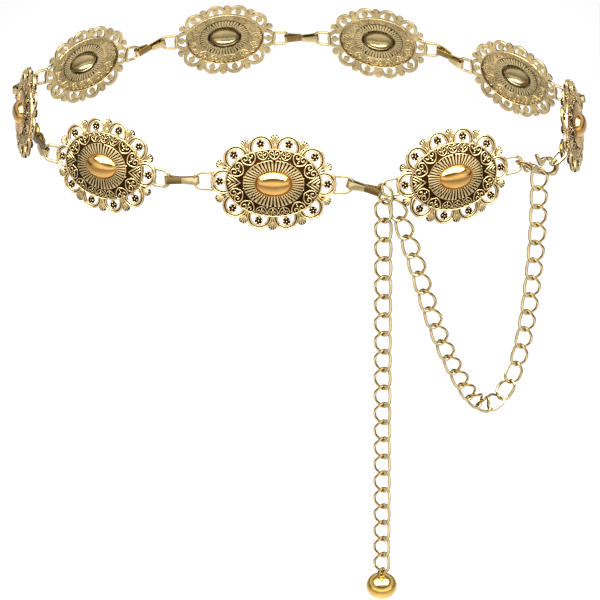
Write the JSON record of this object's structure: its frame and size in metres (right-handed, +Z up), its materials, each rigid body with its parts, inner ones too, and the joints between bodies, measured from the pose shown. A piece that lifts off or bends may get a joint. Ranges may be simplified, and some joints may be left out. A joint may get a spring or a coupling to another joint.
{
  "type": "concho chain belt",
  "caption": "Chain belt of stamped oval conchos joined by strip hooks, closed round the waist by a clasp, with a hanging ball-ended chain and a draped chain.",
  "frame": {"origin": "middle of the waist hollow, level with the middles of the front conchos", "axes": "+Z up, the front faces -Y, +X to the right as seen from the front"},
  "size_m": [0.3271, 0.2404, 0.2835],
  "materials": {
    "antique_gold": "stamped, antiqued dark in the recesses, raised parts rubbed bright",
    "pale_gold": "bright plated wire and strip",
    "polished_gold": "polished"
  },
  "bodies": {
    "belt": {"concho_front_centre": "antique_gold", "concho_front_left": "antique_gold", "concho_side_left": "antique_gold", "concho_back_left": "antique_gold", "concho_back_centre_left": "antique_gold", "concho_back_centre_right": "antique_gold", "concho_back_right": "antique_gold", "concho_side_right": "antique_gold", "concho_front_right": "antique_gold", "hook_front_centre_to_front_left": "pale_gold", "hook_front_left_to_side_left": "pale_gold", "hook_side_left_to_back_left": "pale_gold", "hook_back_left_to_back_centre_left": "pale_gold", "hook_back_centre_left_to_back_centre_right": "pale_gold", "hook_back_centre_right_to_back_right": "pale_gold", "hook_back_right_to_side_right": "pale_gold", "hook_front_centre_to_ring": "pale_gold", "chain_ring": "pale_gold", "clasp_body": "pale_gold", "clasp_lever": "pale_gold", "link_to_clasp_eye": "pale_gold", "link_to_side_right": "pale_gold", "swag_chain_1": "pale_gold", "swag_chain_2": "pale_gold", "swag_chain_3": "pale_gold", "swag_chain_4": "pale_gold", "swag_chain_5": "pale_gold", "swag_chain_6": "pale_gold", "swag_chain_7": "pale_gold"},
    "tail": {"tail_chain_1": "pale_gold", "tail_chain_2": "pale_gold", "tail_chain_3": "pale_gold", "tail_chain_4": "pale_gold", "tail_chain_5": "pale_gold", "tail_chain_6": "pale_gold", "tail_chain_7": "pale_gold"},
    "ball": {"ball_with_ring": "polished_gold"}
  },
  "joints": [
    {"name": "tail_swing", "type": "hinge", "parent": "belt", "child": "tail", "pos_m": [0.04537, -0.11116, -0.01104], "axis": [0.6671, -0.7154, -0.2079], "range_deg": [-60, 5]},
    {"name": "ball_swing", "type": "hinge", "parent": "tail", "child": "ball", "pos_m": [0.04537, -0.11116, -0.24034], "axis": [0.6428, -0.766, 0], "range_deg": [-60, 60]}
  ]
}
